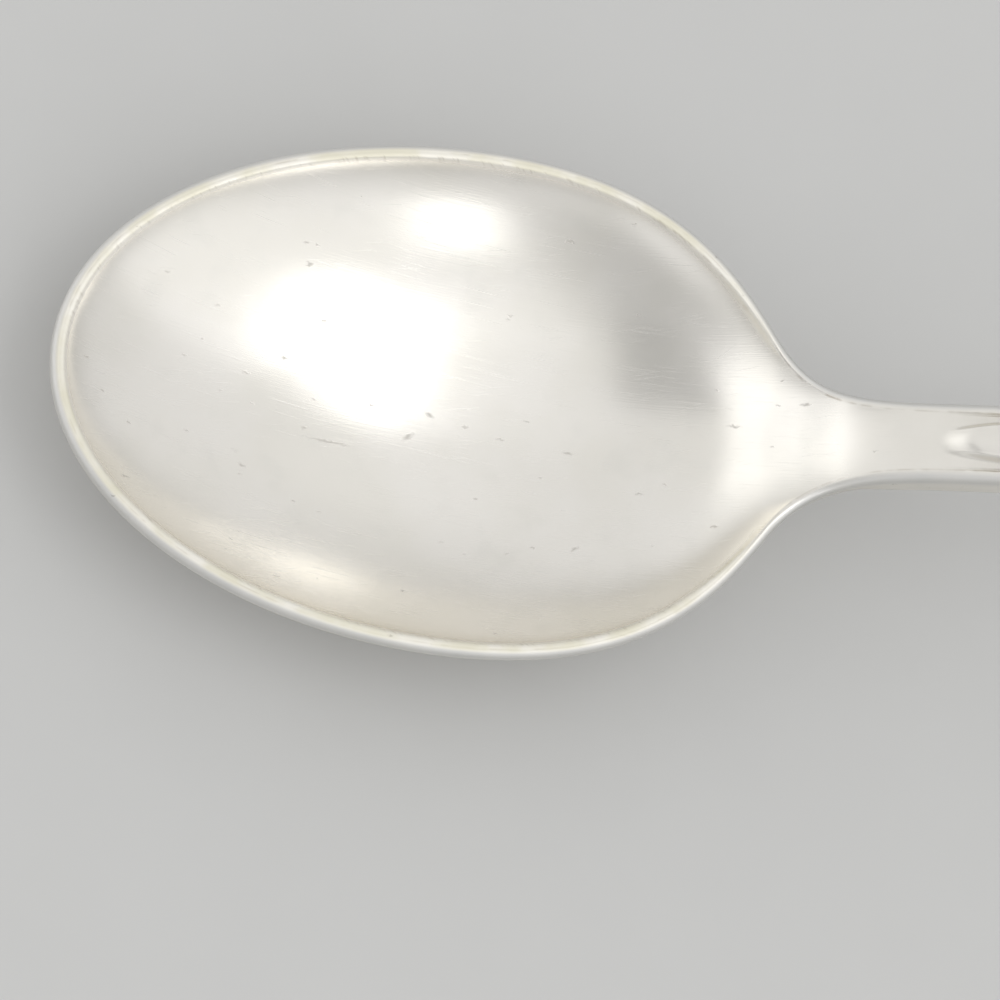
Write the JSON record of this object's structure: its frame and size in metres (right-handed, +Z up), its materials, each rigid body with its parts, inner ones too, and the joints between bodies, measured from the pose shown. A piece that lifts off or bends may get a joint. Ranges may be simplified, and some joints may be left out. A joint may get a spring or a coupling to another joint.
{
  "type": "teaspoon",
  "caption": "Teaspoon with an oval dished bowl, a slim plain neck and an arched handle with a struck thread border and a raised middle panel.",
  "frame": {"origin": "centre of the footprint, on the table the spoon lies on", "axes": "+X from the bowl's tip to the handle's end, +Y across the bowl, +Z up out of the bowl"},
  "size_m": [0.145, 0.031, 0.0189],
  "materials": {
    "silver": "worn bright polish with fine hairline scratches and small dark pits"
  },
  "bodies": {
    "root": {"bowl": "silver", "handle": "silver"}
  },
  "joints": []
}
